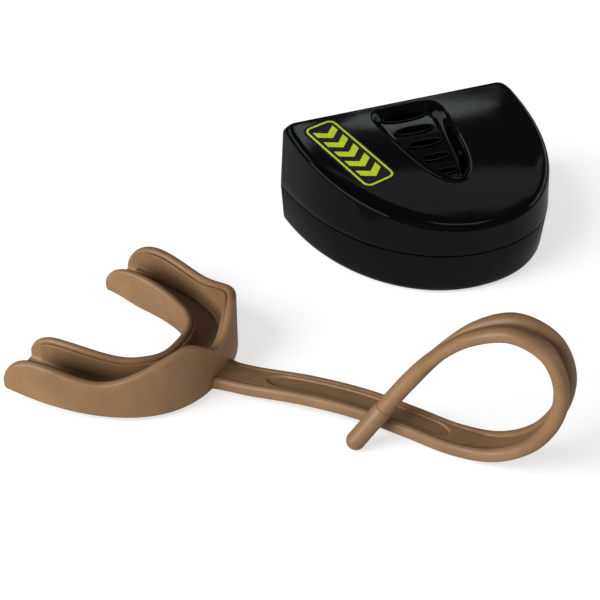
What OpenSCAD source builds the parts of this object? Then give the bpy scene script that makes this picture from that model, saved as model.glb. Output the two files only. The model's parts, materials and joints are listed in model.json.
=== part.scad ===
// Strapped mouthguard with its vented, hinged storage case, both lying on a table.
// +X runs along the hinge, +Y points to the hinge side, +Z is up.
// The origin is the centre of the case's underside.

/* [Case] */
// Width of the case along its hinge
case_w = 84; // [80:1:94]
// Depth of the case from the hinge side to the round front
case_d = 66; // [64:1:74]
// Height of the base, from the table to the parting line
base_h = 14; // [12:1:18]
// Height of the lid at the hinge side
lid_back_h = 22.5; // [19:0.5:25]
// Height of the lid at the round front
lid_front_h = 9; // [8.5:0.5:12]
// Thickness of the case walls
wall = 2; // [1.8:0.1:2.4]
// How square the round front is: 2 is an ellipse
front_power = 2.15; // [2:0.05:2.6]

/* [Hinge] */
// Length of the row of hinge knuckles
hinge_len = 58; // [50:1:64]
// Outer radius of the hinge knuckles
knuckle_r = 2.1; // [2:0.05:2.4]
// Diameter of the hinge pin
pin_d = 1.8; // [1.5:0.1:2]
// Number of knuckles, base and lid taking turns
knuckles = 5; // [3:2:7]

/* [Scoop and vents] */
// Half width of the scoop's floor at its wide end
scoop_w = 9.6; // [9:0.1:11]
// Length of the scoop's floor
scoop_len = 37; // [36:1:39]
// Depth of the scoop's floor below the lid
scoop_depth = 3; // [2.4:0.1:3.4]
// Width of the slope around the scoop's floor
scoop_slope = 3.2; // [2.8:0.1:4]
// Height of the rolled rim around the scoop
scoop_rim = 0.9; // [0.5:0.1:1.2]
// Length of the longest vent
vent_len = 15.2; // [13:0.2:16]
// Distance from one vent to the next
vent_pitch = 7.3; // [7:0.1:7.6]

/* [Mouthguard] */
// Width of the arch over its outer walls
arch_w = 64; // [60:1:68]
// Length of the arch from its rear ends to its front
arch_len = 49; // [46:1:54]
// Width of the section, from the outer wall to the inner flange
section_w = 14.5; // [14:0.1:15]
// How square the arch is: 2 is an ellipse
arch_power = 2.5; // [2.2:0.05:2.7]
// Height of the tall front lobes
lobe_h = 19.5; // [18:0.5:22]
// Height of the notch at the middle of the front
notch_h = 12.5; // [11:0.5:15]
// Thickness of the bite pad under the teeth
pad_t = 3.2; // [2.8:0.1:4]
// Thickness of the fit liner
liner_t = 0.8; // [0.7:0.1:1]

/* [Strap] */
// Half width of the strap band
band_half = 5; // [4.6:0.1:5.2]
// Radius of the rounded beads along the band's edges
bead_r = 1.9; // [1.7:0.1:2]
// Radius of the round tail
tail_r = 2.2; // [2:0.1:2.3]
// Radius of the barrel toggle at the strap's end
toggle_r = 2.5; // [2.4:0.1:2.7]

/* [Placement] */
// Place of the mouthguard's front beside the case, along X
guard_x = -90; // [-105:1:-86]
// Place of the mouthguard's front beside the case, along Y
guard_y = -42; // [-54:1:-38]
// Direction in which the strap leaves the mouthguard
guard_yaw = -49.5; // [-56:0.5:-44]

/* [Hidden] */

// Case
rim_gap = 0.15;                     // slit between the closed lid and the base
rim_z = base_h + rim_gap;           // lower edge of the lid
corner_r = 5;                       // rounding of the two rear corners in plan
draft = 0.8;                        // how far the walls lean in over their height
base_round = 3;                     // rounding under the base
edge_round = 2.2;                   // rounding of the lid's edge, front and sides
rear_round = 4.4;                   // width of the rounded band along the lid's rear
lip_h = 1.4;                        // locating lip inside the rim
lip_clear = 0.2;
front_steps = 36;
corner_steps = 4;
slope = atan((lid_back_h - lid_front_h) / case_d);

// Hinge
hinge_y = case_d / 2 + 1.1;
hinge_z = base_h + rim_gap / 2;
knuckle_gap = 0.3;
knuckle_len = hinge_len / knuckles;
pin_clear = 0.05;

// Vents and decal
vents = 5;
vent_rear = 8.6;                    // from the lid's rear edge to the first vent
vent_shrink = 1.9;                  // each vent is this much shorter than the last
vent_w = 3.2;
vent_w_shrink = 0.35;
scoop_rear = 6.4;                   // from the lid's rear edge to the scoop's floor
decal_t = 0.25;
decal_len = 34;
decal_w = 13;
decal_x = -27;
decal_y = 23.5;
decal_turn = 77;

// Mouthguard
outer_wall = 2.5;
flange_wall = 2;
heel_rise = 3;                      // the underside rises this much towards the rear ends
skin_gap = 0.05;                    // between the liner and the shell
arch_steps = 56;

// Strap: the route of its centre line from the root, in the mouthguard's own axes
// (forward, sideways, up), as the moulded strap lies on the table and curls back.
flex_x = 2.6;
flex_z = 3;
route = [[flex_x, 0, flex_z], [10, 0.5, 3.3], [25, 2, 4.4], [40, 3, 4.4], [54, 3, 3.3],
         [66, 3, 2.1], [77, 2.5, 4.2], [86, 2, 11], [91, 1.5, 21], [91.5, 1, 31.5],
         [87, 0.6, 40], [78, 0.2, 43], [68.5, -0.3, 38.5], [60.5, -1, 30], [54.2, -2.4, 20.6],
         [49, -4.6, 11.8]];
band_end = 11;                      // route points up to here carry the full band
tail_start = 14;                    // from here on the strap is a round tail
route_steps = 4;
toggle_tip = [43.5, -8.8, toggle_r];

// ---------- helpers ----------
function smooth(t) = t * t * (3 - 2 * t);
function mix(a, b, t) = a + (b - a) * t;
function unit(v) = v / norm(v);
function power(v, p) = sign(v) * pow(abs(v), p);

// Value at x on a smooth line through the knots [x, value]
function through(x, knots) =
    let (k = [for (i = [0:len(knots) - 2]) if (x >= knots[i][0]) i], i = k[len(k) - 1],
         t = (x - knots[i][0]) / (knots[i + 1][0] - knots[i][0]))
    mix(knots[i][1], knots[i + 1][1], smooth(min(t, 1)));

// A closed solid through rings that all have the same number of points
module loft(rings) {
    n = len(rings[0]);
    last = (len(rings) - 1) * n;
    sides = [for (i = [0:len(rings) - 2], j = [0:n - 1])
        let (a = i * n + j, b = i * n + (j + 1) % n)
        each [[a, a + n, b + n], [a, b + n, b]]];
    caps = [[for (j = [0:n - 1]) j], [for (j = [n - 1:-1:0]) last + j]];
    polyhedron([for (r = rings) each r], concat(sides, caps));
}

// ---------- case ----------
// D-shaped outline, drawn in by side all round and by rear at the hinge side
function d_outline(side, rear) =
    let (a = case_w / 2 - side, r = max(corner_r - side, 0.8), y0 = case_d / 2 - 8,
         b = y0 + case_d / 2 - side, yr = case_d / 2 - rear)
    concat(
        [for (i = [0:front_steps]) let (t = 180 + 180 * i / front_steps)
            [a * power(cos(t), 2 / front_power), y0 + b * power(sin(t), 2 / front_power)]],
        [for (i = [0:corner_steps]) let (t = 90 * i / corner_steps)
            [a - r + r * cos(t), yr - r + r * sin(t)]],
        [for (i = [0:corner_steps]) let (t = 90 + 90 * i / corner_steps)
            [r - a + r * cos(t), yr - r + r * sin(t)]]);

function lid_z(y) = rim_z + mix(lid_front_h, lid_back_h, (y + case_d / 2) / case_d);
function flat_ring(side, z) = [for (p = d_outline(side, side)) [p[0], p[1], z]];

// One ring of the lid: inset side/rear, and drop below the lid's sloping top
function lid_ring(side, rear, drop, rear_drop) =
    [for (p = d_outline(side, rear))
        let (t = smooth(max(0, min(1, (p[1] - case_d / 2 + 9) / 8))))
        [p[0], p[1], lid_z(p[1]) - mix(drop, rear_drop, t)]];

function round_rings(inset, edge, rear) =
    [for (i = [0:5]) let (c = 1 - cos(18 * i), s = 1 - sin(18 * i))
        lid_ring(inset + edge * c, inset + rear * c, edge * s + inset * s, rear * s + inset * s)];

module lid_volume(inset, low) {
    top = [for (r = round_rings(draft + inset, edge_round, rear_round))
        [for (p = r) [p[0], p[1], p[2] - inset]]];
    loft(concat([flat_ring(inset, low)], top));
}

module base_volume(inset, low, high) {
    loft(concat(
        [for (i = [0:4]) let (c = cos(22.5 * i), s = sin(22.5 * i))
            flat_ring(inset + draft + base_round * (1 - s), low + base_round * (1 - c))],
        [flat_ring(inset, high)]));
}

module rim_band(outer, inner, low, high) {
    translate([0, 0, low]) difference() {
        linear_extrude(high - low) polygon(d_outline(outer, outer));
        translate([0, 0, -1]) linear_extrude(high - low + 2) polygon(d_outline(inner, inner));
    }
}

// Frame on the lid's sloping top: y runs forward from the rear edge, z out of the lid
module on_lid() {
    translate([0, case_d / 2, lid_z(case_d / 2)]) rotate([slope, 0, 0]) mirror([0, 1, 0]) children();
}

// Shield outline of the scoop, grown outward by extra
module shield(extra) {
    half = scoop_w + extra;
    len = scoop_len + 1.6 * extra;
    steps = 14;
    side = [for (i = [0:steps]) let (t = i / steps)
        [half * (1 - 0.42 * t) * sqrt(1 - pow(t, 6)), scoop_rear - 0.6 * extra + len * t]];
    polygon(concat(side, [for (i = [steps - 1:-1:0]) [-side[i][0], side[i][1]]]));
}

// A tub with a shield-shaped floor at depth low and a wider mouth at height high
module scoop_body(low, low_extra, high, high_extra) {
    hull() {
        translate([0, 0, low]) linear_extrude(0.01) shield(low_extra);
        translate([0, 0, high - 0.01]) linear_extrude(0.01) shield(high_extra);
    }
}

// One pointed-oval slot, length along X
module vent(length, width, depth) {
    r = (length * length + width * width) / (4 * width);
    intersection() {
        translate([0, r - width / 2, -depth]) cylinder(r = r, h = 2 * depth, $fn = 96);
        translate([0, width / 2 - r, -depth]) cylinder(r = r, h = 2 * depth, $fn = 96);
    }
}

module vent_row(depth) {
    for (i = [0:vents - 1]) translate([0, vent_rear + i * vent_pitch, 0])
        vent(vent_len - i * vent_shrink, vent_w - i * vent_w_shrink, depth);
}

module along_hinge(start, length) {
    translate([start, hinge_y, hinge_z]) rotate([0, 90, 0]) linear_extrude(length) children();
}

// Knuckles number first, first + 2 ... with a web that joins each to its wall
module knuckle_set(first, web_low, bore_r) {
    for (i = [first:2:knuckles - 1]) {
        start = i * knuckle_len - hinge_len / 2 + knuckle_gap / 2;
        length = knuckle_len - knuckle_gap;
        difference() {
            union() {
                translate([start, hinge_y, hinge_z]) rotate([0, 90, 0])
                    cylinder(r = knuckle_r, h = length, $fn = 48);
                translate([start, case_d / 2 - 1, web_low])
                    cube([length, hinge_y - case_d / 2 + 1, knuckle_r - rim_gap / 2]);
            }
            translate([start - 1, hinge_y, hinge_z]) rotate([0, 90, 0])
                cylinder(r = bore_r, h = length + 2, $fn = 48);
        }
    }
}

// Room for the other half's knuckles
module knuckle_room(first) {
    for (i = [first:2:knuckles - 1])
        translate([i * knuckle_len - hinge_len / 2 - knuckle_gap / 2, hinge_y, hinge_z])
            rotate([0, 90, 0])
                cylinder(r = knuckle_r + 0.3, h = knuckle_len + knuckle_gap, $fn = 48);
}

module case_base() {
    color("#15181a") {
        difference() {
            union() {
                difference() {
                    base_volume(0, 0, base_h);
                    base_volume(wall, wall, base_h + 1);
                    translate([0, case_d / 2, 0]) mirror([0, 1, 0]) vent_row(wall + 1);
                }
                rim_band(wall / 2 + lip_clear, wall, base_h - 2, base_h + lip_h);
            }
            knuckle_room(1);
        }
        knuckle_set(0, hinge_z - knuckle_r, pin_d / 2);
    }
}

module case_lid() {
    color("#15181a") {
        difference() {
            union() {
                difference() {
                    union() {
                        lid_volume(0, rim_z);
                        on_lid() scoop_body(-0.4, scoop_slope + 1, scoop_rim, scoop_slope - 1.4);
                    }
                    lid_volume(wall, rim_z - 1);
                }
                on_lid() scoop_body(-scoop_depth - wall, 0.6, -1, scoop_slope);
            }
            on_lid() scoop_body(-scoop_depth, 0, scoop_rim + 0.1, scoop_slope - 1);
            on_lid() vent_row(scoop_depth + wall + 1);
            translate([0, 0, rim_z - 1]) linear_extrude(lip_h + 1.3)
                polygon(d_outline(wall / 2, wall / 2));
            knuckle_room(0);
        }
        knuckle_set(1, hinge_z + rim_gap / 2, pin_d / 2 + pin_clear);
    }
}

module hinge_pin() {
    color("#b9bcc0") translate([-hinge_len / 2 + 0.5, hinge_y, hinge_z]) rotate([0, 90, 0])
        cylinder(d = pin_d, h = hinge_len - 1, $fn = 48);
}

// Film label on the left of the lid: a rounded bar with three chevrons cut out
module lid_decal() {
    color("#c3d600") on_lid() translate([decal_x, decal_y, 0]) rotate(decal_turn)
        linear_extrude(decal_t) difference() {
            hull() for (sx = [-1, 1], sy = [-1, 1])
                translate([sx * (decal_len / 2 - 3), sy * (decal_w / 2 - 3)]) circle(3, $fn = 32);
            for (i = [-1:1]) translate([8 * i, 0])
                polygon([[-4, -3], [-1, -3], [2, 0], [-1, 3], [-4, 3], [-1, 0]]);
        }
}

// ---------- mouthguard ----------
// Stations along the arch's outer edge: [point, outward normal, signed arc fraction]
function arch_point(t) =
    [arch_len * (power(sin(t), 2 / arch_power) - 1), -arch_w / 2 * power(cos(t), 2 / arch_power)];
function arch_normal(t) =
    unit([power(sin(t), 2 - 2 / arch_power) / arch_len,
          -power(cos(t), 2 - 2 / arch_power) / (arch_w / 2)]);
function arch_run(i) = i == 0 ? 0
    : arch_run(i - 1) + norm(arch_point(180 * i / arch_steps) - arch_point(180 * (i - 1) / arch_steps));
arch_total = arch_run(arch_steps);
stations = [for (i = [0:arch_steps]) let (t = 180 * i / arch_steps)
    [arch_point(t), arch_normal(t), 2 * arch_run(i) / arch_total - 1]];

function under_z(s) = heel_rise * pow(abs(s), 2.2);
function pad_z(s) = under_z(s) + pad_t;
function outer_z(s) = through(abs(s), [[0, notch_h], [0.21, lobe_h], [0.62, 13], [0.86, 14.6], [1, 8.6]]);
function inner_z(s) = through(abs(s), [[0, 11], [0.45, 12.2], [0.84, 14.2], [1, 8]]);

// Section points [inset from the outer face, height], anticlockwise from the outer foot
function shell_section(s) =
    let (u = under_z(s), f = pad_z(s), o = outer_z(s), h = inner_z(s),
         a = outer_wall, b = section_w - flange_wall, w = section_w)
    [[1, u], [0, u + 1], [0, o - 1.3], [0.4, o - 0.4], [a / 2, o], [a - 0.4, o - 0.4], [a, o - 1.3],
     [a, f + 1], [a + 1, f], [b - 1, f], [b, f + 1], [b, h - 1.1], [b + 0.4, h - 0.3],
     [b + flange_wall / 2, h], [w - 0.4, h - 0.3], [w, h - 1.1], [w, u + 1], [w - 1, u]];

function liner_section(s) =
    let (f = pad_z(s) + skin_gap, o = outer_z(s) - 1.9, h = inner_z(s) - 1.7, t = liner_t,
         a = outer_wall + skin_gap, b = section_w - flange_wall - skin_gap)
    [[a, o], [a, f + 1], [a + 1, f], [b - 1, f], [b, f + 1], [b, h],
     [b - t, h], [b - t, f + 1 + t / 2], [b - 1 - t / 2, f + t], [a + 1 + t / 2, f + t],
     [a + t, f + 1 + t / 2], [a + t, o]];

function arch_ring(st, section) =
    [for (q = section) let (p = st[0] - st[1] * q[0]) [p[0], p[1], q[1]]];

module place_guard() {
    translate([guard_x, guard_y, 0]) rotate(guard_yaw) children();
}

module guard_shell() {
    color("#8d6c49") place_guard()
        loft([for (st = stations) arch_ring(st, shell_section(st[2]))]);
}

module guard_liner() {
    color("#7a5c3c") place_guard()
        loft([for (st = stations) if (abs(st[2]) < 0.93) arch_ring(st, liner_section(st[2]))]);
}

// ---------- strap ----------
function route_at(i) = i < 0 ? 2 * route[0] - route[1]
    : i >= len(route) ? 2 * route[len(route) - 1] - route[len(route) - 2] : route[i];
function spline(i, t) =
    let (a = route_at(i - 1), b = route_at(i), c = route_at(i + 1), d = route_at(i + 2))
    0.5 * (2 * b + (c - a) * t + (2 * a - 5 * b + 4 * c - d) * t * t
        + (3 * b - a - 3 * c + d) * t * t * t);
function spline_dir(i, t) =
    let (a = route_at(i - 1), b = route_at(i), c = route_at(i + 1), d = route_at(i + 2))
    unit((c - a) + 2 * (2 * a - 5 * b + 4 * c - d) * t + 3 * (3 * b - a - 3 * c + d) * t * t);

// Section of the strap: a band with a bead along each edge, or a round tail, or between
section_turn = [-60, -30, 0, 30, 60, 75, 90, 105, 120, 150, 180, 210, 240, 255, 270, 285];
function band_point(turn, half, squash) =
    let (inner = half - 2.1 * bead_r, web = bead_r * 0.55)
    abs(sin(turn)) > 0.95
        ? [turn % 180 == 90 ? 0 : sign(cos(turn)) * inner, sign(sin(turn)) * web * squash]
        : [sign(cos(turn)) * (half - bead_r) + bead_r * cos(turn), bead_r * sin(turn) * squash];
function strap_section(m, half, squash) =
    [for (turn = section_turn)
        mix(band_point(turn, half, squash), tail_r * [cos(turn), sin(turn)], m)];

function strap_ring(place, dir, m, half, squash = 1) =
    let (side = unit([0, 1, 0] - dir[1] * dir), up = cross(dir, side))
    [for (q = strap_section(m, half, squash)) place + q[0] * side + q[1] * up];

// The rounded root turns about the flex line
root_rings = [for (i = [0:2]) let (turn = 75 - 25 * i)
    strap_ring(route[0] - [bead_r * sin(turn), 0, 0], [1, 0, 0], 0, band_half - 0.5, cos(turn))];
route_rings = [for (i = [0:len(route) - 2], j = [0:route_steps - 1])
    let (t = j / route_steps, k = i + t,
         m = smooth(max(0, min(1, (k - band_end) / (tail_start - band_end)))),
         half = band_half - 0.5 * max(0, 1 - k / 2))
    strap_ring(spline(i, t), spline_dir(i, t), m, half)];
end_ring = strap_ring(route[len(route) - 1], spline_dir(len(route) - 2, 1), 1, band_half);

module strap() {
    color("#8d6c49") place_guard() loft(concat(root_rings, route_rings, [end_ring]));
}

module strap_toggle() {
    start = route[len(route) - 1];
    way = toggle_tip - start;
    color("#8d6c49") place_guard() translate(start)
        rotate([0, acos(way[2] / norm(way)), atan2(way[1], way[0])]) rotate_extrude($fn = 40)
            polygon(concat([[0, 0], [toggle_r - 0.5, 0], [toggle_r, 0.5]],
                [for (i = [0:6]) [toggle_r * cos(15 * i), norm(way) + toggle_r * sin(15 * i)]]));
}

case_base();
case_lid();
hinge_pin();
lid_decal();
guard_shell();
guard_liner();
strap();
strap_toggle();
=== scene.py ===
"""Looks of the strapped mouthguard and of its vented, hinged storage case.

Lengths in this script are millimetres in the row frame: +X along the hinge, +Y to the
hinge side, +Z up. mesh_object() turns them into metres.
"""
import json
import math

import bmesh
import bpy
import numpy as np
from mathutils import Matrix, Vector

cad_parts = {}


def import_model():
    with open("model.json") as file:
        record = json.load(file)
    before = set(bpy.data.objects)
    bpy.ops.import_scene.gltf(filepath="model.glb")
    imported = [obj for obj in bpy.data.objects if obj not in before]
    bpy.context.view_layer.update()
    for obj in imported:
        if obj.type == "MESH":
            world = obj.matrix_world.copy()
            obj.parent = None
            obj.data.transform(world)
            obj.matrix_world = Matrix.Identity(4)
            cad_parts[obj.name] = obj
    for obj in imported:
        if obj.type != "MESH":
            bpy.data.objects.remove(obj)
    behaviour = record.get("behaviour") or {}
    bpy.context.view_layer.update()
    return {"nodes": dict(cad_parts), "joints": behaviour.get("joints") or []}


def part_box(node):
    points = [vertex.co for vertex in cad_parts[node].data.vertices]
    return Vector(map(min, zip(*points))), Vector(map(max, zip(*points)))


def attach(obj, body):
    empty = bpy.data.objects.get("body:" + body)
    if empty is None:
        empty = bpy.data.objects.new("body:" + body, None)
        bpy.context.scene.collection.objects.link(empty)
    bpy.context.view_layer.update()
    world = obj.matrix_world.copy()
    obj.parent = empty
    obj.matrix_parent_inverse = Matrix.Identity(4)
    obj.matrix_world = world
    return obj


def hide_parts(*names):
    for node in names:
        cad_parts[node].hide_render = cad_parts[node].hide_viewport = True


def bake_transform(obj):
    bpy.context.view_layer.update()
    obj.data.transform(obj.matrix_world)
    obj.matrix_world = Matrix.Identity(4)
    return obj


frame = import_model()

MM = 0.001


def cad_corners(node):
    low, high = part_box(node)
    return np.array(low) / MM, np.array(high) / MM


# ---------- sizes ----------
BASE_LOW, BASE_HIGH = cad_corners("case_base")
PIN_LOW, PIN_HIGH = cad_corners("hinge_pin")
CASE_W = BASE_HIGH[0] - BASE_LOW[0]
CASE_D = -2 * BASE_LOW[1]
HINGE_Y = (PIN_LOW[1] + PIN_HIGH[1]) / 2
HINGE_Z = (PIN_LOW[2] + PIN_HIGH[2]) / 2
HINGE_LEN = PIN_HIGH[0] - PIN_LOW[0] + 1
RIM_GAP = 0.15
BASE_H = HINGE_Z - RIM_GAP / 2
RIM_Z = BASE_H + RIM_GAP
LID_BACK_H = 22.5
LID_FRONT_H = 9
SLOPE = math.atan((LID_BACK_H - LID_FRONT_H) / CASE_D)
WALL = 2
FRONT_POWER = 2.15
CORNER_R = 5
DRAFT = 0.8
BASE_ROUND = 3
FOOT_INSET = 5.5
FOOT_H = 0.35
EDGE_ROUND = 2.2
CHAMFER_W = 3.5
CHAMFER_H = 3.4
LIP_H = 1.4
CROWN = 0.35
CROWN_X = 39
CROWN_Y = 29
CROWN_MID_Y = -1

KNUCKLES = 5
KNUCKLE_R = 2.1
KNUCKLE_GAP = 0.3
BORE_R = 0.95

SCOOP_DEPTH = 3
SCOOP_RIM = 1.1
SCOOP_CENTRE_Y = CASE_D / 2 - 24
# Half width, start behind the lid's rear end, length, corner
SCOOP_MOUTH = (14.3, 5.4, 41, 7)
SCOOP_FLOOR = (9.4, 8, 34.6, 3.2)
VENTS = 5
VENT_REAR = 8.6
VENT_PITCH = 7.3
VENT_LEN = 15.2
VENT_SHRINK = 1.9
VENT_W = 3.2
VENT_W_SHRINK = 0.35
LIP_ROOM = 0.25  # how far a vent's slot lies outside its lip's bore

DECAL_X = -27
DECAL_REAR = 23.5
DECAL_TURN = math.radians(77)
DECAL_LEN = 34
DECAL_W = 13
DECAL_CORNER = 3.2

ARCH_W = 64
ARCH_LEN = 49
ARCH_POWER = 2.5
SECTION_W = 14.5
OUTER_WALL = 2.5
FLANGE_WALL = 2
PAD_T = 3.2
LINER_T = 0.8
SKIN_GAP = 0.05
HEEL_RISE = 3

FLEX_X = 2.6
BAND_HALF = 5
BAND_T = 1.9  # half of the band's thickness
TAIL_R = 2.2
TOGGLE_R = 2.5
ROUTE = np.array([
    [FLEX_X, 0, 3], [10, 0.5, 3.3], [25, 2, 4.4], [40, 3, 4.4], [54, 3, 3.3],
    [66, 3, 2.1], [77, 2.5, 4.2], [86, 2, 11], [91, 1.5, 21], [91.5, 1, 31.5], [87, 0.6, 40],
    [78, 0.2, 43], [68.5, -0.3, 38.5], [60.5, -1, 30], [54.2, -2.4, 20.6], [49, -4.6, 11.8]])
BAND_END = 11
TAIL_START = 14
TOGGLE_TIP = np.array([43.5, -8.8, TOGGLE_R])

# The mouthguard's own axes, from the joint at the strap's root
strap_joint = next(j for j in frame["joints"] if j["name"] == "strap_flex")
GUARD_SIDE = -np.array(strap_joint["axis"])
GUARD_FORWARD = np.array([GUARD_SIDE[1], -GUARD_SIDE[0], 0])
GUARD_ORIGIN = np.array(strap_joint["pos_m"]) / MM - FLEX_X * GUARD_FORWARD
GUARD_ORIGIN[2] = 0


# ---------- helpers ----------
def mix(a, b, t):
    return a + (b - a) * t


def smooth(t):
    t = np.clip(t, 0, 1)
    return t * t * (3 - 2 * t)


def power(v, p):
    return np.sign(v) * np.abs(v) ** p


def unit(v):
    return v / np.linalg.norm(v, axis=-1, keepdims=True)


def through(x, knots):
    """Value at x on a smooth line through the knots (x, value)."""
    x = np.asarray(x, float)
    xs, values = np.array(knots, float).T
    i = np.clip(np.searchsorted(xs, x, "right") - 1, 0, len(xs) - 2)
    return mix(values[i], values[i + 1], smooth((x - xs[i]) / (xs[i + 1] - xs[i])))


def with_z(points, z):
    return np.column_stack([points, np.broadcast_to(z, len(points))])


def fillet(corners, steps, closed=True):
    """Rounds the corners (x, y, radius) of an outline, each with steps + 1 points."""
    points = []
    count = len(corners)
    for i, (x, y, radius) in enumerate(corners):
        here = np.array([x, y])
        if not closed and i in (0, count - 1):
            points.append(here[None])
            continue
        back = np.array(corners[i - 1][:2]) - here
        ahead = np.array(corners[(i + 1) % count][:2]) - here
        back, ahead = unit(back), unit(ahead)
        half = math.acos(np.clip(back @ ahead, -1, 1)) / 2
        reach = radius / math.tan(half)
        centre = here + unit(back + ahead) * radius / math.sin(half)
        start, end = here + back * reach - centre, here + ahead * reach - centre
        sweep = math.atan2(start[0] * end[1] - start[1] * end[0], start @ end)
        turn = np.linspace(0, sweep, steps + 1)
        cos, sin = np.cos(turn), np.sin(turn)
        arc = np.column_stack([start[0] * cos - start[1] * sin, start[0] * sin + start[1] * cos])
        points.append(centre + arc)
    return np.concatenate(points)


def snug_fillet(corners, share, steps):
    """Fillet whose radii are at most a share of the shorter side at their corner."""
    snug = []
    for i, (x, y, radius) in enumerate(corners):
        here = np.array([x, y])
        beside = (corners[i - 1], corners[(i + 1) % len(corners)])
        room = min(np.linalg.norm(here - np.array(other[:2])) for other in beside)
        snug.append((x, y, max(min(radius, room * share), 0.02)))
    return fillet(snug, steps)


def resample(points, count, closed=False):
    """Count points at even distances along a line."""
    if closed:
        points = np.vstack([points, points[:1]])
    run = np.concatenate([[0], np.cumsum(np.linalg.norm(np.diff(points, axis=0), axis=1))])
    at = np.linspace(0, run[-1], count, endpoint=not closed)
    return np.column_stack([np.interp(at, run, column) for column in points.T])


def offset(points, distance):
    """A closed anticlockwise outline grown outward by distance."""
    along = np.roll(points, -1, axis=0) - np.roll(points, 1, axis=0)
    along = unit(along)
    return points + distance * np.column_stack([along[:, 1], -along[:, 0]])


def mesh_object(name, points, faces):
    mesh = bpy.data.meshes.new(name)
    mesh.from_pydata((np.asarray(points) * MM).tolist(), [], faces)
    work = bmesh.new()
    work.from_mesh(mesh)
    bmesh.ops.recalc_face_normals(work, faces=work.faces)
    work.to_mesh(mesh)
    work.free()
    piece = bpy.data.objects.new(name, mesh)
    bpy.context.scene.collection.objects.link(piece)
    return piece


def loft(rings, close_ends=True, loop=False):
    """Points and faces of a surface through rings with equal counts of points.
    A ring with one point is a pole. loop joins the last ring to the first."""
    points = np.concatenate(rings)
    starts = np.cumsum([0] + [len(r) for r in rings])
    count = max(len(r) for r in rings)
    faces = []
    pairs = [(i, i + 1) for i in range(len(rings) - 1)]
    if loop:
        pairs.append((len(rings) - 1, 0))
    for i, k in pairs:
        a, b = starts[i], starts[k]
        for j in range(count):
            n = (j + 1) % count
            if len(rings[i]) == 1:
                faces.append((a, b + n, b + j))
            elif len(rings[k]) == 1:
                faces.append((a + j, a + n, b))
            else:
                faces.append((a + j, a + n, b + n, b + j))
    if close_ends and not loop:
        for i, turn in ((0, -1), (len(rings) - 1, 1)):
            if len(rings[i]) > 1:
                faces.append(tuple(range(starts[i], starts[i] + count))[::turn])
    return points, faces


def joined(parts):
    """Points and faces of several surfaces as one."""
    points, faces, start = [], [], 0
    for part_points, part_faces in parts:
        points.append(part_points)
        faces += [tuple(start + v for v in face) for face in part_faces]
        start += len(part_points)
    return np.concatenate(points), faces


def cut(piece, cutters):
    """Cuts closed cutters out of the piece."""
    for cutter in cutters:
        step = piece.modifiers.new("cut", "BOOLEAN")
        step.operation = "DIFFERENCE"
        step.solver = "EXACT"
        step.object = cutter
    graph = bpy.context.evaluated_depsgraph_get()
    mesh = bpy.data.meshes.new_from_object(piece.evaluated_get(graph))
    if len(mesh.polygons) < 0.8 * len(piece.data.polygons):
        raise RuntimeError(piece.name + " lost faces in a cut")
    piece.modifiers.clear()
    piece.data = mesh
    for cutter in cutters:
        bpy.data.objects.remove(cutter)


def finish_piece(piece, material, sharp=40):
    """Shading and material of a finished mesh."""
    piece.data.shade_smooth()
    piece.data.set_sharp_from_angle(angle=math.radians(sharp))
    piece.data.materials.clear()
    piece.data.materials.append(material)
    return piece


# ---------- materials ----------
class Nodes:
    """A material's node tree with short ways to add and link nodes."""

    def __init__(self, name):
        self.material = bpy.data.materials.new(name)
        self.material.use_nodes = True
        self.tree = self.material.node_tree
        self.shader = self.tree.nodes["Principled BSDF"]
        self.place = self.add("ShaderNodeTexCoord").outputs["Object"]

    def add(self, kind, **values):
        node = self.tree.nodes.new(kind)
        for key, value in values.items():
            if hasattr(node, key):
                setattr(node, key, value)
            else:
                node.inputs[key.replace("_", " ").title()].default_value = value
        return node

    def link(self, output, socket):
        self.tree.links.new(output, socket)

    def noise(self, scale, detail=3, roughness=0.5, stretch=None):
        node = self.add("ShaderNodeTexNoise", scale=scale, detail=detail, roughness=roughness)
        if stretch is None:
            self.link(self.place, node.inputs["Vector"])
        else:
            mapping = self.add("ShaderNodeMapping")
            mapping.inputs["Scale"].default_value = stretch
            self.link(self.place, mapping.inputs["Vector"])
            self.link(mapping.outputs["Vector"], node.inputs["Vector"])
        return node.outputs["Fac"]

    def ramp(self, source, stops):
        node = self.add("ShaderNodeValToRGB")
        while len(node.color_ramp.elements) < len(stops):
            node.color_ramp.elements.new(0.5)
        for element, (position, colour) in zip(node.color_ramp.elements, stops):
            element.position = position
            element.color = (*colour, 1)
        self.link(source, node.inputs["Fac"])
        return node.outputs["Color"]

    def range(self, source, low, high):
        node = self.add("ShaderNodeMapRange")
        node.inputs["From Min"].default_value = 0.3
        node.inputs["From Max"].default_value = 0.7
        node.inputs["To Min"].default_value = low
        node.inputs["To Max"].default_value = high
        self.link(source, node.inputs["Value"])
        return node.outputs["Result"]

    def bump(self, *layers):
        """Layers of (height, depth in millimetres)."""
        normal = None
        for height, depth in layers:
            node = self.add("ShaderNodeBump")
            node.inputs["Distance"].default_value = depth * MM
            self.link(height, node.inputs["Height"])
            if normal is not None:
                self.link(normal, node.inputs["Normal"])
            normal = node.outputs["Normal"]
        self.link(normal, self.shader.inputs["Normal"])

    def fix(self, **values):
        for key, value in values.items():
            self.shader.inputs[key.replace("_", " ")].default_value = value


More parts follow.
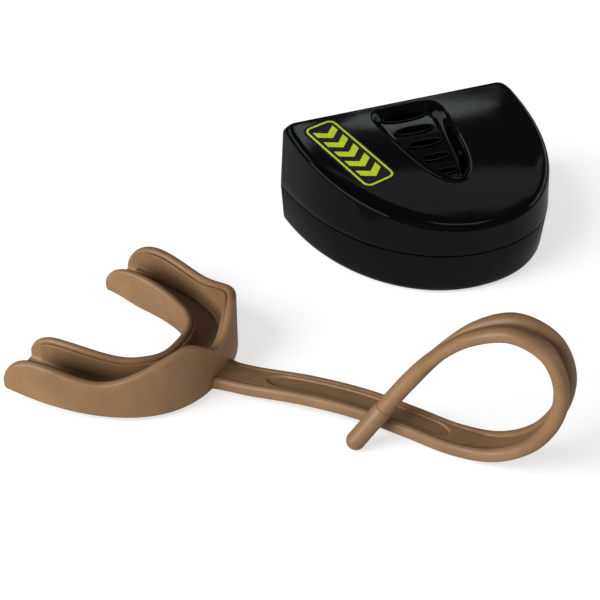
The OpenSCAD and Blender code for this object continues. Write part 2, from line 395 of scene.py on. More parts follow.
def glossy_plastic(name, dark, light, rough):
    """Injection-moulded plastic: slow tone change, faint orange peel, hair scratches."""
    nodes = Nodes(name)
    nodes.link(nodes.ramp(nodes.noise(60), [(0.35, dark), (0.65, light)]),
               nodes.shader.inputs["Base Color"])
    scratches = nodes.noise(900, 2, 0.6, (1, 0.04, 1))
    smears = nodes.noise(90, 4, 0.6)
    blend = nodes.add("ShaderNodeMix", data_type="FLOAT")
    blend.inputs["Factor"].default_value = 0.35
    nodes.link(smears, blend.inputs["A"])
    nodes.link(scratches, blend.inputs["B"])
    nodes.link(nodes.range(blend.outputs["Result"], rough * 0.7, rough * 1.5),
               nodes.shader.inputs["Roughness"])
    nodes.bump((nodes.noise(260, 2), 0.004), (scratches, 0.0006))
    nodes.fix(IOR=1.45)
    return nodes.material


def elastomer(name, shade, tone, lit):
    """Satin moulded elastomer: cloudy pigment, fine grain, a few flow marks."""
    nodes = Nodes(name)
    cloud = nodes.noise(70, 5, 0.62)
    nodes.link(nodes.ramp(cloud, [(0.32, shade), (0.5, tone), (0.7, lit)]),
               nodes.shader.inputs["Base Color"])
    nodes.link(nodes.range(nodes.noise(220, 4, 0.6), 0.4, 0.52), nodes.shader.inputs["Roughness"])
    nodes.bump((nodes.noise(2600, 3, 0.6), 0.012), (nodes.noise(320, 3), 0.03))
    nodes.fix(IOR=1.46, Specular_IOR_Level=0.3, Subsurface_Weight=0.06, Subsurface_Scale=0.0012)
    nodes.shader.inputs["Subsurface Radius"].default_value = (1, 0.6, 0.35)
    return nodes.material


def printed_film(name, colour, light):
    nodes = Nodes(name)
    nodes.link(nodes.ramp(nodes.noise(400), [(0.3, colour), (0.7, light)]),
               nodes.shader.inputs["Base Color"])
    nodes.link(nodes.range(nodes.noise(700, 4), 0.2, 0.32), nodes.shader.inputs["Roughness"])
    nodes.bump((nodes.noise(1500, 2), 0.004))
    return nodes.material


def drawn_steel(name):
    """Drawn wire: fine lines along its length, which is X."""
    nodes = Nodes(name)
    lines = nodes.noise(3000, 3, 0.6, (0.02, 1, 1))
    nodes.link(nodes.ramp(lines, [(0.3, (0.42, 0.43, 0.45)), (0.7, (0.6, 0.61, 0.63))]),
               nodes.shader.inputs["Base Color"])
    nodes.link(nodes.range(lines, 0.22, 0.4), nodes.shader.inputs["Roughness"])
    nodes.bump((lines, 0.002))
    nodes.fix(Metallic=1)
    return nodes.material


black_plastic = glossy_plastic("black_plastic", (0.002, 0.0024, 0.0026), (0.0034, 0.004, 0.0044), 0.055)
tan_rubber = elastomer("tan_rubber", (0.172, 0.094, 0.043), (0.198, 0.109, 0.05), (0.23, 0.129, 0.06))
# The liner's rubber is the tan rubber made about a tenth darker in every tone: painted shade for the
# channel that the liner lines.
liner_rubber = elastomer("liner_rubber", (0.158, 0.086, 0.038), (0.182, 0.1, 0.045), (0.21, 0.117, 0.054))
lime_film = printed_film("lime_film", (0.5, 0.62, 0.004), (0.58, 0.70, 0.008))
navy_film = printed_film("navy_film", (0.006, 0.006, 0.018), (0.01, 0.01, 0.028))
steel = drawn_steel("drawn_steel")


# ---------- case ----------
FRONT_POINTS = 250
CORNER_POINTS = 14
SIDE_POINTS = 4
REAR_POINTS = 90


def d_outline(side, rear):
    """D-shaped outline, drawn in by side all round and by rear at the hinge side."""
    a = CASE_W / 2 - side
    r = max(CORNER_R - side, 0.8)
    y0 = CASE_D / 2 - 8
    b = y0 + CASE_D / 2 - side
    yr = CASE_D / 2 - rear
    t = np.radians(np.linspace(180, 360, FRONT_POINTS))
    p = 2 / FRONT_POWER
    front = np.column_stack([a * power(np.cos(t), p), y0 + b * power(np.sin(t), p)])
    up = np.linspace(y0, yr - r, SIDE_POINTS + 2)[1:-1]
    t = np.radians(np.linspace(0, 90, CORNER_POINTS))
    arc = np.column_stack([a - r + r * np.cos(t), yr - r + r * np.sin(t)])
    along = np.linspace(a - r, r - a, REAR_POINTS + 2)[1:-1]
    left = arc[::-1] * [-1, 1]
    return np.concatenate([
        front, np.column_stack([np.full(SIDE_POINTS, a), up]), arc,
        np.column_stack([along, np.full(REAR_POINTS, yr)]), left,
        np.column_stack([np.full(SIDE_POINTS, -a), up[::-1]])])


def lid_plane(y):
    return RIM_Z + mix(LID_FRONT_H, LID_BACK_H, (y + CASE_D / 2) / CASE_D)


def lid_top(points):
    """Height of the lid's top, without the scoop, at points in plan."""
    x, y = points[:, 0], points[:, 1]
    swell = np.clip(1 - (x / CROWN_X) ** 2, 0, 1)
    swell = swell * np.clip(1 - ((y - CROWN_MID_Y) / CROWN_Y) ** 2, 0, 1)
    return lid_plane(y) + CROWN * swell


def rearness(points):
    return smooth((points[:, 1] - CASE_D / 2 + 9) / 8)


def edge_profile(count, width, height, low_r, high_r):
    """Rows of (side inset, side drop, rear inset, rear drop) from the wall to the flat top.
    The rear has a chamfer of that width and height."""
    t = np.radians(np.linspace(0, 90, count))
    side = EDGE_ROUND * np.column_stack([1 - np.cos(t), 1 - np.sin(t)])
    path = fillet([(0, height + 1.6, 0), (0, height, low_r), (width, 0, high_r),
                   (width + 0.5, 0, 0)], 12, closed=False)
    return np.column_stack([side, resample(path, count)])


def lid_edge_rings(inset, profile):
    rings = []
    for side, drop, rear, rear_drop in profile:
        plan = d_outline(DRAFT + inset + side, DRAFT + inset + rear)
        low = mix(drop, rear_drop, rearness(plan)) + inset
        rings.append(with_z(plan, lid_plane(plan[:, 1]) - low))
    return rings


def flat_ring(side, z):
    return with_z(d_outline(side, side), z)


def shield(half, start, length, corner):
    """Shield outline of the scoop: half width and length in plan, start behind its rear end,
    rounded rear corners."""
    t = np.linspace(0, 1, 900) ** 2
    t = np.concatenate([t / 2, 1 - t[::-1] / 2])
    width = half * (1 - 0.42 * t) * np.sqrt(1 - t ** 6)
    near = np.clip(1 - t * length / corner, 0, 1)
    width = width - corner * (1 - (1 - near ** 2.2) ** (1 / 2.2))
    y = CASE_D / 2 - start - length * t
    right = np.column_stack([width, y])
    rear = np.linspace(-width[0], width[0], 60)[1:-1]
    rear = np.column_stack([rear, np.full(len(rear), y[0])])
    return np.concatenate([right, right[::-1] * [-1, 1], rear])


def reach(outline, angles):
    """Distance from the scoop's centre to an outline at each angle."""
    rel = outline - [0, SCOOP_CENTRE_Y]
    angle = np.arctan2(rel[:, 1], rel[:, 0])
    order = np.argsort(angle)
    return np.interp(angles, angle[order], np.linalg.norm(rel, axis=1)[order], period=2 * math.pi)


def scoop_rings(edge, flat_steps, slope_steps, floor_steps, thin=0):
    """Rings of the lid's top from its edge ring to its middle. thin lowers them for the
    underside, where the rim's roll is left out."""
    plan = edge[:, :2]
    rel = plan - [0, SCOOP_CENTRE_Y]
    angles = np.arctan2(rel[:, 1], rel[:, 0])
    way = np.column_stack([np.cos(angles), np.sin(angles)])
    centre = np.array([0, SCOOP_CENTRE_Y])
    mouth = centre + way * reach(shield(*SCOOP_MOUTH), angles)[:, None]
    floor = centre + way * reach(shield(*SCOOP_FLOOR), angles)[:, None]
    rings = []
    for u in np.linspace(0, 1, flat_steps)[1:]:
        ring = mix(plan, mouth, 1 - (1 - u) ** 1.5)
        rings.append(with_z(ring, lid_top(ring) - thin))
    roll = smooth((CASE_D / 2 - 13 - mouth[:, 1]) / 17)
    top = mix(0.06, 0.38, roll)
    rim = 0 if thin else SCOOP_RIM * roll
    for u in np.linspace(0, 1, slope_steps)[1:]:
        q = u ** 1.35
        ring = mix(mouth, floor, q)
        rise = np.sqrt(np.clip(1 - (1 - np.clip(q / top, 0, 1)) ** 2, 0, 1)) * rim
        drop = smooth((q - top) / (1 - top)) * (SCOOP_DEPTH + rim)
        rings.append(with_z(ring, lid_top(ring) + rise - drop - thin))
    for u in np.linspace(1, 0, floor_steps)[1:-1]:
        ring = centre + (floor - centre) * u
        rings.append(with_z(ring, lid_top(ring) - SCOOP_DEPTH - thin))
    middle = centre[None]
    rings.append(with_z(middle, lid_top(middle) - SCOOP_DEPTH - thin))
    return rings


def vent_outline(i, grow=0.0, count=72):
    """Pointed oval of vent i about its own middle."""
    length = VENT_LEN - i * VENT_SHRINK
    width = VENT_W - i * VENT_W_SHRINK
    t = np.linspace(0, 2 * math.pi, count, endpoint=False)
    oval = np.column_stack([length / 2 * np.cos(t), width / 2 * power(np.sin(t), 1.15)])
    oval = resample(oval, count, closed=True)
    return offset(oval, grow) if grow else oval


def on_lid(points, rear):
    """Places points (x, y, out of the lid) about the spot at the scoop's floor that is rear
    behind the lid's rear edge."""
    cos, sin = math.cos(SLOPE), math.sin(SLOPE)
    y = points[:, 1] * cos - points[:, 2] * sin
    z = points[:, 1] * sin + points[:, 2] * cos
    y_mid = CASE_D / 2 - rear * cos
    z_mid = lid_top(np.array([[0, y_mid]]))[0] - SCOOP_DEPTH
    return np.column_stack([points[:, 0], y + y_mid, z + z_mid])


def on_base(points, rear):
    return points + [0, CASE_D / 2 - rear, WALL]


def vent_cutters(place, low, high):
    cutters = []
    for i in range(VENTS):
        outline = vent_outline(i, LIP_ROOM)
        rings = [place(with_z(outline, z), VENT_REAR + i * VENT_PITCH) for z in (low, high)]
        cutters.append(mesh_object("cutter", *loft(rings)))
    return cutters


def vent_lips(name, place, low, lip, body):
    """A thin raised lip around each vent, lining the slot down to low."""
    section = fillet([(0, low, 0.1), (0.85, low, 0.1), (0.85, -0.05, 0.1), (0.64, lip, 0.26),
                      (0.02, lip, 0.26)], 6)
    parts = []
    for i in range(VENTS):
        rings = [place(with_z(vent_outline(i, grow), z), VENT_REAR + i * VENT_PITCH)
                 for grow, z in section]
        parts.append(loft(rings, loop=True))
    piece = mesh_object(name, *joined(parts))
    finish_piece(piece, black_plastic, 60)
    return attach(piece, body)


def knuckle_rooms(first):
    """Cutters for the other half's knuckles."""
    cutters = []
    size = HINGE_LEN / KNUCKLES
    t = np.linspace(0, 2 * math.pi, 48, endpoint=False)
    circle = (KNUCKLE_R + 0.25) * np.column_stack([np.cos(t), np.sin(t)])
    for i in range(first, KNUCKLES, 2):
        start = i * size - HINGE_LEN / 2 - KNUCKLE_GAP / 2
        rings = [np.column_stack([np.full(48, x), HINGE_Y + circle[:, 0], HINGE_Z + circle[:, 1]])
                 for x in (start, start + size + KNUCKLE_GAP)]
        cutters.append(mesh_object("cutter", *loft(rings)))
    return cutters


def knuckles(name, first, up, body):
    """Knuckles first, first + 2 ... with their webs to the wall and a bore for the pin.
    up is 1 for the lid and -1 for the base."""
    size = HINGE_LEN / KNUCKLES
    t = np.radians(np.linspace(90, -178, 44))
    arc = KNUCKLE_R * np.column_stack([np.cos(t), np.sin(t)])
    web = np.array([[-2.6, 0.12], [-2.6, KNUCKLE_R], [-1.2, KNUCKLE_R]])
    outline = np.concatenate([arc, web])[::-1] * [1, up]
    outline = outline if up == 1 else outline[::-1]
    bore = BORE_R * unit(outline)
    bevel = 0.28
    ends = [(0, bevel), (0.08, 0.1), (bevel, 0)]
    parts = []
    for i in range(first, KNUCKLES, 2):
        start = i * size - HINGE_LEN / 2 + KNUCKLE_GAP / 2
        stop = start + size - KNUCKLE_GAP
        rings = [(start, bore)] + [(start + x, offset(outline, -d)) for x, d in ends]
        rings += [(stop - x, offset(outline, -d)) for x, d in ends[::-1]] + [(stop, bore)]
        rings = [np.column_stack([np.full(len(r), x), HINGE_Y + r[:, 0], HINGE_Z + r[:, 1]])
                 for x, r in rings]
        parts.append(loft(rings, loop=True))
    piece = mesh_object(name, *joined(parts))
    finish_piece(piece, black_plastic, 35)
    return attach(piece, body)


def case_lid():
    edge = lid_edge_rings(0, edge_profile(22, CHAMFER_W, CHAMFER_H, 1.5, 0.9))
    wall = [with_z(d_outline(i, i), z) for i, z in
            ((0.4, RIM_Z), (0.12, RIM_Z + 0.1), (0, RIM_Z + 0.35))]
    for u in (0.15, 0.4, 0.7):
        low = with_z(d_outline(0, 0), RIM_Z + 0.35)
        wall.append(mix(low, edge[0], u))
    inner_edge = lid_edge_rings(WALL, edge_profile(8, 0.7, 2, 1, 0.5))
    inside = scoop_rings(inner_edge[-1], 12, 12, 5, WALL)[::-1] + inner_edge[::-1]
    rebate_z = RIM_Z + LIP_H + 0.3
    inside += [flat_ring(WALL, rebate_z), flat_ring(WALL / 2 - 0.05, rebate_z),
               flat_ring(WALL / 2 - 0.05, RIM_Z)]
    rings = inside + wall + edge + scoop_rings(edge[-1], 26, 36, 12)
    piece = mesh_object("lid_shell", *loft(rings))
    cut(piece, vent_cutters(on_lid, -WALL - 2, 2) + knuckle_rooms(0))
    finish_piece(piece, black_plastic, 32)
    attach(piece, "lid")
    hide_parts("case_lid")


def case_base():
    outer = [flat_ring(FOOT_INSET + 0.4, FOOT_H), flat_ring(FOOT_INSET, 0)]
    for t in np.radians(np.linspace(0, 90, 12)):
        outer.append(flat_ring(DRAFT + BASE_ROUND * (1 - math.sin(t)), BASE_ROUND * (1 - math.cos(t))))
    outer += [flat_ring(0, BASE_H - 0.3), flat_ring(0.1, BASE_H - 0.08), flat_ring(0.35, BASE_H)]
    lip = WALL / 2 + 0.25
    outer += [flat_ring(lip, BASE_H), flat_ring(lip, BASE_H + LIP_H - 0.2),
              flat_ring(lip + 0.2, BASE_H + LIP_H), flat_ring(WALL - 0.2, BASE_H + LIP_H),
              flat_ring(WALL, BASE_H + LIP_H - 0.2), flat_ring(WALL, BASE_H - 0.5)]
    for t in np.radians(np.linspace(90, 0, 8)):
        outer.append(flat_ring(WALL + DRAFT + BASE_ROUND * (1 - math.sin(t)),
                               WALL + BASE_ROUND * (1 - math.cos(t))))
    rings = outer + [flat_ring(6.4, WALL)]
    piece = mesh_object("base_shell", *loft(rings))
    cut(piece, vent_cutters(on_base, -WALL - 1, 2) + knuckle_rooms(1))
    finish_piece(piece, black_plastic, 32)
    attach(piece, "case")
    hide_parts("case_base")


# ---------- label ----------
def on_label(points, height):
    """Label points (along, across) on the lid, height above it."""
    cos, sin = math.cos(DECAL_TURN), math.sin(DECAL_TURN)
    x = DECAL_X + points[:, 0] * cos - points[:, 1] * sin
    y = CASE_D / 2 - (DECAL_REAR + points[:, 0] * sin + points[:, 1] * cos) * math.cos(SLOPE)
    plan = np.column_stack([x, y])
    return with_z(plan, lid_top(plan) + height)


def bar_outline(shrink):
    half_l, half_w = DECAL_LEN / 2 - shrink, DECAL_W / 2 - shrink
    radius = max(DECAL_CORNER - shrink, 0.4)
    corners = [(-half_l, -half_w, radius), (half_l, -half_w, radius),
               (half_l, half_w, radius), (-half_l, half_w, radius)]
    return resample(fillet(corners, 12), 160, closed=True)


def lid_label():
    film, lime = 0.1, 0.14
    outline = bar_outline(0)
    rings = [on_label(outline, -0.1), on_label(outline, film - 0.02), on_label(bar_outline(0.03), film)]
    rings += [on_label(outline * k, film) for k in (0.8, 0.6, 0.4, 0.2)]
    rings.append(on_label(np.zeros((1, 2)), film))
    base = mesh_object("label_film", *loft(rings))
    finish_piece(base, navy_film)
    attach(base, "lid")
    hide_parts("lid_decal")

    line = [(0.8, 0), (0.8, lime), (1.5, lime), (1.5, 0)]
    parts = [loft([on_label(bar_outline(s), h) for s, h in line], loop=True)]
    half_w, arm, point, pitch = 3.9, 2.7, 2.6, 5.4
    for i in range(-2, 3):
        chevron = np.array([[-arm, -half_w], [0, -half_w], [point, 0], [0, half_w],
                            [-arm, half_w], [point - arm, 0]]) + [pitch * i, 0]
        parts.append(loft([on_label(chevron, 0), on_label(chevron, lime)]))
    marks = mesh_object("label_marks", *joined(parts))
    finish_piece(marks, lime_film)
    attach(marks, "lid")
    return [base, marks]


# ---------- mouthguard ----------
def in_guard(points):
    """From the mouthguard's own axes (forward, sideways, up) to the row frame."""
    up = np.array([0, 0, 1])
    return GUARD_ORIGIN + points @ np.array([GUARD_FORWARD, GUARD_SIDE, up])


def arch_line():
    """The arch's outer edge: arc fractions -1 to 1, points and outward normals."""
    t = np.linspace(0, math.pi, 6001)
    p = 2 / ARCH_POWER
    points = np.column_stack([ARCH_LEN * (power(np.sin(t), p) - 1), -ARCH_W / 2 * power(np.cos(t), p)])
    normals = unit(np.column_stack([power(np.sin(t), 2 - p) / ARCH_LEN,
                                    -power(np.cos(t), 2 - p) / (ARCH_W / 2)]))
    run = np.concatenate([[0], np.cumsum(np.linalg.norm(np.diff(points, axis=0), axis=1))])
    return run, points, normals


ARCH_RUN, ARCH_POINTS, ARCH_NORMALS = arch_line()
ARCH_TOTAL = ARCH_RUN[-1]


def end_drop(s, start, top, low):
    """Quarter-round fall of a rim from top at start to low at the arch's end."""
    q = np.clip((abs(s) - start) / (1 - start), 0, 1)
    return low + (top - low) * math.sqrt(1 - q * q)


def under_z(s):
    return HEEL_RISE * abs(s) ** 2.2


def outer_z(s):
    if abs(s) > 0.84:
        return end_drop(s, 0.84, 15.4, 5.6)
    return float(through(abs(s), [(0, 12.3), (0.2, 19.5), (0.58, 12.4), (0.84, 15.4)]))


def inner_z(s):
    if abs(s) > 0.86:
        return end_drop(s, 0.86, 14.2, 7.2)
    return float(through(abs(s), [(0, 10), (0.42, 11), (0.86, 14.2)]))


def shell_section(s, e):
    """Outline (inset from the outer face, height) of the shell, drawn in by e."""
    u, f = under_z(s), under_z(s) + PAD_T
    o, h = max(outer_z(s), u + 2.4), max(inner_z(s), f + 0.9)
    lift = 2.2 * smooth((abs(s) - 0.78) / 0.22)
    a, b, w = OUTER_WALL, SECTION_W - FLANGE_WALL, SECTION_W
    f = min(f, o - 0.3)
    corners = [(e, u + e, 2.2 - e), (e, o - e, 1.24 - e), (a - e, o - e, 1.24 - e),
               (a - e, min(f, o - 0.9) - e, 1.3 + e), (b + e, f - e, 1.3 + e), (b + e, h - e, 0.99 - e),
               (w - e, h - e, 0.99 - e), (w - e, u + lift + e, 1.6 - e)]
    return snug_fillet(corners, 0.49, 7)


def liner_section(s, e):
    """Thin lining of the channel with a ledge along the foot of the outer wall."""
    f = under_z(s) + PAD_T + SKIN_GAP
    o, h = outer_z(s) - 1.25, inner_z(s) - 1.15
    t, ledge = LINER_T, 1.5
    a, b = OUTER_WALL + SKIN_GAP, SECTION_W - FLANGE_WALL - SKIN_GAP
    step = min(f + t + 1.6, o - 0.8)
    corners = [(a + e, o - e, 0.1), (a + e, f + e, 1.2), (b - e, f + e, 1.2), (b - e, h - e, 0.1),
               (b - t + e, h - e, 0.36 - e), (b - t + e, f + t - e, 1),
               (a + t + ledge - e, f + t - e, 0.5), (a + t + ledge - e, step - e, 0.36 - e),
               (a + t - e, step - e, 0.3), (a + t - e, o - e, 0.36 - e)]
    return snug_fillet(corners, 0.45, 5)


def arch_sweep(name, section, limit, end_r, step, material):
    """Sweeps a section along the arch up to the arc fraction limit, with rounded ends."""
    reach_mm = limit * ARCH_TOTAL / 2
    turn = np.radians(np.linspace(0, 90, 9))[:-1]
    cap = [(end_r * (1 - math.cos(t)), end_r * (1 - math.sin(t))) for t in turn]
    near = [end_r * k for k in (1.3, 1.8, 2.5, 3.4, 4.5)]
    middle = np.linspace(near[-1], 2 * reach_mm - near[-1], int(2 * reach_mm / step))[1:-1]
    stations = cap + [(end_r, 0)] + [(d, 0) for d in near]
    ahead = [(d - reach_mm, e) for d, e in stations]
    stations = ahead + [(d - reach_mm, 0) for d in middle] + [(-d, e) for d, e in ahead[::-1]]
    rings = []
    for place, e in stations:
        run = place + ARCH_TOTAL / 2
        s = 2 * place / ARCH_TOTAL
        point = np.array([np.interp(run, ARCH_RUN, c) for c in ARCH_POINTS.T])
        normal = unit(np.array([np.interp(run, ARCH_RUN, c) for c in ARCH_NORMALS.T]))
        outline = section(s, e)
        rings.append(with_z(point - outline[:, :1] * normal, outline[:, 1]))
    points, faces = loft(rings)
    piece = mesh_object(name, in_guard(points), faces)
    finish_piece(piece, material, 50)
    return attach(piece, "guard")


def mouthguard():
    shell = arch_sweep("arch_shell", shell_section, 1.0, 0.95, 0.55, tan_rubber)
    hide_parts("guard_shell")
    # The liner wears the darker rubber, which is painted shade for the inside of the channel.
    liner = arch_sweep("arch_liner", liner_section, 0.93, 0.33, 0.55, liner_rubber)
    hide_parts("guard_liner")
    return [shell, liner]


# ---------- strap ----------
def spline(k):
    """Point on the route at k, where whole numbers are the route's points."""
    ends = np.vstack([2 * ROUTE[0] - ROUTE[1], ROUTE, 2 * ROUTE[-1] - ROUTE[-2]])
    i = int(min(k, len(ROUTE) - 1.0001))
    t = k - i
    a, b, c, d = ends[i:i + 4]
    return 0.5 * (2 * b + (c - a) * t + (2 * a - 5 * b + 4 * c - d) * t * t
                  + (3 * b - a - 3 * c + d) * t ** 3)


STRAP_START = -1.6
ROOT_FLARE = 5.5
ROOT_BEAD = 1.2
LOOP_BEAD = 1.9
RECESS = (11, 62)
RECESS_HALF = 2.45
RECESS_DEPTH = 0.6
RECESS_END = 2.2  # length of the recess's round ends over its half width


def band_section(bead, half, thick, web_share, count=20):
    """Top half of the band's outline from its right edge to its left: (across, up). The web
    between the beads reaches up to web_share of the thickness."""
    web = half - 2 * bead
    t = np.linspace(0, math.pi, count)
    x = half - bead + bead * np.cos(t)
    z = thick * np.sin(t) ** 0.9
    level = thick * web_share
    low = t > math.pi / 2
    z = np.where(low, np.maximum(z, level * smooth((t - math.pi / 2) / 1.0)), z)
    right = np.column_stack([x, z])[:-3]
    middle = np.linspace(web * 0.96, -web * 0.96, 28)
    middle = np.column_stack([middle, np.full(28, level)])
    return np.concatenate([right, middle, right[::-1] * [-1, 1]])


def strap_outline(run, k):
    """Closed outline of the strap at a distance run from its root."""
    m = float(smooth((k - BAND_END) / (TAIL_START - BAND_END)))
    bead = mix(ROOT_BEAD, LOOP_BEAD, float(smooth((run - 64) / 24)))
    flare = np.clip(1 - (run + FLEX_X) / ROOT_FLARE, 0, 1) ** 2.4
    half, thick = BAND_HALF + 0.6 * flare, BAND_T
    share = mix(0.86, 0.62, float(smooth((run - 62) / 14)))
    top = band_section(bead, half, thick + 0.2 * flare, share)
    valley = mix(0.62, 0.12, float(smooth((run - 4) / 10)))
    bottom = band_section(bead, half, thick, valley)[::-1][1:-1] * [1, -1]
    start, end = RECESS
    round_end = RECESS_HALF * RECESS_END
    past = (np.clip(run, start + round_end, end - round_end) - run) / RECESS_END
    away = RECESS_HALF - np.hypot(top[:, 0], past)
    dip = RECESS_DEPTH * smooth(away / 0.3 + 0.5)
    inner = np.abs(top[:, 0]) < RECESS_HALF + 0.25  # the web's points, without the beads'
    top[inner, 1] -= dip[inner]
    band = np.concatenate([top, bottom])
    angle = np.linspace(0, 2 * math.pi, len(band), endpoint=False)
    tail = TAIL_R * np.column_stack([np.cos(angle), np.sin(angle)])
    return mix(band, tail, m)


def strap():
    ks = np.linspace(0, len(ROUTE) - 1, 4000)
    line = np.array([spline(k) for k in ks])
    run = np.concatenate([[0], np.cumsum(np.linalg.norm(np.diff(line, axis=0), axis=1))])
    root = FLEX_X - STRAP_START
    ends = [np.arange(end - 6, end + 6, 0.15) for end in RECESS]
    places = np.concatenate([np.linspace(-root, 0, 12)[:-1], np.arange(0, run[-1], 0.5), *ends])
    places = np.append(np.unique(places.round(2)), run[-1])
    rings = []
    for place in places:
        if place <= 0:
            point, ahead = ROUTE[0] + [place, 0, 0], np.array([1.0, 0, 0])
        else:
            point = np.array([np.interp(place, run, c) for c in line.T])
            nearby = np.array([[np.interp(q, run, c) for c in line.T]
                               for q in (place - 0.4, min(place + 0.4, run[-1]))])
            ahead = unit(nearby[1] - nearby[0])
        side = unit(np.array([0, 1, 0]) - ahead[1] * ahead)
        up = np.cross(ahead, side)
        k = float(np.interp(max(place, 0), run, ks))
        outline = strap_outline(place, k)
        rings.append(point + outline[:, :1] * side + outline[:, 1:] * up)
    points, faces = loft(rings)
    piece = mesh_object("strap_band", in_guard(points), faces)
    finish_piece(piece, tan_rubber, 60)
    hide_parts("strap")
    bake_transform(piece)
    return piece


def toggle():
    """Barrel at the strap's end with a stepped collar."""
    start = ROUTE[-1]
    way = unit(TOGGLE_TIP - start)
    length = np.linalg.norm(TOGGLE_TIP - start)
    side = unit(np.cross(way, [0, 0, 1]))
    up = np.cross(side, way)
    profile = [(0.4, -0.6), (TAIL_R - 0.1, -0.6), (TAIL_R + 0.05, -0.1), (TOGGLE_R - 0.05, 0.15)]
    profile += [(TOGGLE_R, 0.5), (TOGGLE_R, length * 0.5), (TOGGLE_R, length)]
    for t in np.radians(np.linspace(8, 86, 11)):
        profile.append((TOGGLE_R * math.cos(t), length + TOGGLE_R * math.sin(t)))
    turn = np.linspace(0, 2 * math.pi, 64, endpoint=False)
    rings = [start + z * way + r * (np.cos(turn)[:, None] * side + np.sin(turn)[:, None] * up)
             for r, z in profile]
    points, faces = loft(rings)
    piece = mesh_object("strap_barrel", in_guard(points), faces)
    finish_piece(piece, tan_rubber, 50)
    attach(piece, "strap")
    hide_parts("strap_toggle")
    return piece


# ---------- stage ----------
AZIMUTH = math.radians(-24)
ELEVATION = math.radians(35)
TARGET = Vector((-54.6, -14.7, 0)) * MM
DISTANCE = 0.36
VIEW_WIDTH = 0.181


def camera_back():
    """Direction from the target to the camera."""
    return Vector((math.sin(AZIMUTH) * math.cos(ELEVATION),
                   -math.cos(AZIMUTH) * math.cos(ELEVATION), math.sin(ELEVATION)))


def camera():
    data = bpy.data.cameras.new("camera")
    data.sensor_width = 36
    data.lens = 36 * DISTANCE / VIEW_WIDTH
    data.clip_start = 0.01
    eye = bpy.data.objects.new("camera", data)
    eye.location = TARGET + camera_back() * DISTANCE
    eye.rotation_euler = camera_back().to_track_quat("Z", "Y").to_euler()
    bpy.context.scene.collection.objects.link(eye)
    bpy.context.scene.camera = eye


def floor():
    size = 3000
    corners = np.array([[-size, -size, 0], [size, -size, 0], [size, size, 0], [-size, size, 0]])
    piece = mesh_object("floor", corners - [0, 0, 0.02], [(0, 1, 2, 3)])
    nodes = Nodes("floor_paper")
    nodes.fix(Base_Color=(0.45, 0.45, 0.45, 1), Roughness=0.9, Specular_IOR_Level=0.1,
              Emission_Color=(1, 1, 1, 1), Emission_Strength=0.66)
    piece.data.materials.append(nodes.material)
    piece.visible_glossy = False
    return piece


def light(name, kind, azimuth, elevation, power, receivers, **values):
    """A light a metre off in a direction, that only lights the receivers."""
    data = bpy.data.lights.new(name, kind)
    data.energy = power
    for key, value in values.items():
        setattr(data, key, value)
    lamp = bpy.data.objects.new(name, data)
    way = Vector(direction(azimuth, elevation))
    lamp.location = TARGET + way
    lamp.rotation_euler = way.to_track_quat("Z", "Y").to_euler()
    bpy.context.scene.collection.objects.link(lamp)
    group = bpy.data.collections.new(name + "_receivers")
    for piece in receivers:
        group.objects.link(piece)
    lamp.light_linking.receiver_collection = group


def world():
    """Soft white light all round. What shines in the plastic is the tent and the cards."""
    sky = bpy.data.worlds.new("studio")
    sky.use_nodes = True
    back = sky.node_tree.nodes["Background"]
    back.inputs["Color"].default_value = (0.97, 0.985, 1, 1)
    back.inputs["Strength"].default_value = 0.26
    bpy.context.scene.world = sky
    sky.cycles_visibility.glossy = False


def glow_piece(piece, name, colour, strength, seen_by="glossy"):
    """A glowing stage piece that only one kind of ray sees."""
    glow = bpy.data.materials.new(name)
    glow.use_nodes = True
    tree = glow.node_tree
    tree.nodes.clear()
    emit = tree.nodes.new("ShaderNodeEmission")
    emit.inputs["Color"].default_value = (*colour, 1)
    emit.inputs["Strength"].default_value = strength
    out = tree.nodes.new("ShaderNodeOutputMaterial")
    tree.links.new(emit.outputs[0], out.inputs["Surface"])
    piece.data.materials.append(glow)
    for ray in ("camera", "diffuse", "glossy", "transmission", "volume_scatter", "shadow"):
        setattr(piece, "visible_" + ray, ray == seen_by)


def direction(azimuth, elevation):
    """Azimuth in degrees from +Y towards +X, elevation above the floor."""
    a, e = math.radians(azimuth), math.radians(elevation)
    return np.array([math.sin(a) * math.cos(e), math.cos(a) * math.cos(e), math.sin(e)])


def dome(name, radius, colour, strength, seen_by):
    """A glowing dome over the floor."""
    turns = np.linspace(0, 2 * math.pi, 48, endpoint=False)
    rings = []
    for rise in np.radians(np.linspace(-4, 88, 14)):
        rings.append(radius * np.column_stack([np.cos(turns) * math.cos(rise),
                                               np.sin(turns) * math.cos(rise),
                                               np.full(48, math.sin(rise))]))
    rings.append(np.array([[0, 0, radius]]))
    points, faces = loft(rings, close_ends=False)
    glow_piece(mesh_object(name, points, faces), name, colour, strength, seen_by)


def floor_glow(strength):
    """What the plastic's walls mirror in place of the bright floor."""
    size = 1500
    corners = np.array([[-size, -size, -1], [size, -size, -1], [size, size, -1], [-size, size, -1]])
    glow_piece(mesh_object("floor_glow", corners, [(0, 1, 2, 3)]), "floor_glow", (1, 1, 1), strength)


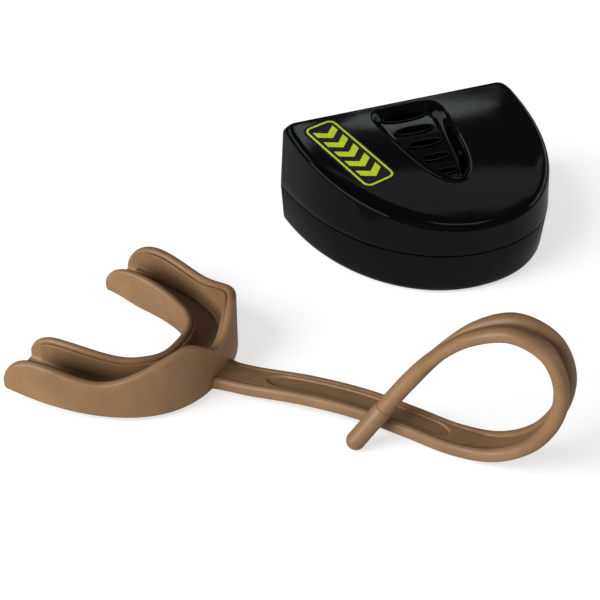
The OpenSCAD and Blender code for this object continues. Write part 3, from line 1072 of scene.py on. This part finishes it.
def mirror_card(name, outline, strength, colour, distance=900):
    """A card that the closed lid's flat top mirrors to the camera inside an outline (x, y)."""
    eye = np.array(TARGET + camera_back() * DISTANCE) / MM
    x, y = np.array(outline, float).T
    spots = np.column_stack([x, y, lid_plane(y)])
    across, back = x / CROWN_X, (y - CROWN_MID_Y) / CROWN_Y
    tilt_x = 2 * CROWN * across / CROWN_X * (1 - back ** 2)
    tilt_y = 2 * CROWN * back / CROWN_Y * (1 - across ** 2) - math.tan(SLOPE)
    normal = unit(np.column_stack([tilt_x, tilt_y, np.ones(len(x))]))
    ray = unit(spots - eye)
    corners = spots + distance * (ray - 2 * np.sum(ray * normal, axis=1)[:, None] * normal)
    piece = mesh_object(name, corners, [tuple(range(len(corners)))])
    glow_piece(piece, name, colour, strength)


def card(name, azimuth, elevation, size, strength, colour=(1, 1, 1), distance=900):
    """A flat card that faces the case from a direction."""
    way = direction(azimuth, elevation)
    side = unit(np.cross(way, [0, 0, 1]))
    up = np.cross(side, way)
    half_w, half_h = size[0] / 2, size[1] / 2
    corners = [way * distance + side * x * half_w + up * y * half_h
               for x, y in ((-1, -1), (1, -1), (1, 1), (-1, 1))]
    glow_piece(mesh_object(name, np.array(corners), [(0, 1, 2, 3)]), name, colour, strength)


case_lid()
case_base()
vent_lips("lid_vent_lips", on_lid, -WALL - 0.25, 0.52, "lid")
vent_lips("base_vent_lips", on_base, -WALL + 0.02, 0.3, "case")
knuckles("lid_knuckles", 1, 1, "lid")
knuckles("base_knuckles", 0, -1, "case")
lit_pieces = lid_label() + mouthguard() + [strap(), toggle()]
frame["nodes"]["hinge_pin"].data.materials.clear()
frame["nodes"]["hinge_pin"].data.materials.append(steel)

paper = floor()
world()
camera()
dome("tent", 1600, (0.9, 0.97, 1), 0.05, "glossy")
dome("backdrop", 2900, (1, 1, 1), 1, "camera")
floor_glow(0.22)
mirror_card("card_rear", [(-46, 13), (-40, 19), (-26, 22.5), (-16, 26.5), (8, 28), (44, 30),
                          (44, 40), (-48, 40)], 1.2, (0.88, 0.98, 1))
mirror_card("card_top", [(-48, 2), (-16, -3), (6, -8.5), (32, -17), (48, -17), (48, -50),
                         (-48, -50)], 0.3, (0.88, 0.98, 1))
card("card_left", -90, 22, (900, 260), 1.1)
card("card_slope", -42, 36, (420, 260), 0.9)
card("card_zenith", 110, 71, (300, 300), 0.7)
card("card_right", 80, 20, (900, 260), 0.6)
card("card_front", 200, 40, (700, 200), 0.12)
light("key", "AREA", -105, 21, 14, lit_pieces, size=0.5)
light("fill", "AREA", 112, 22, 3, lit_pieces, size=0.6)
light("floor_key", "SUN", -95, 40, 3.0, [paper], angle=math.radians(40))
bpy.context.scene.view_settings.view_transform = "Standard"
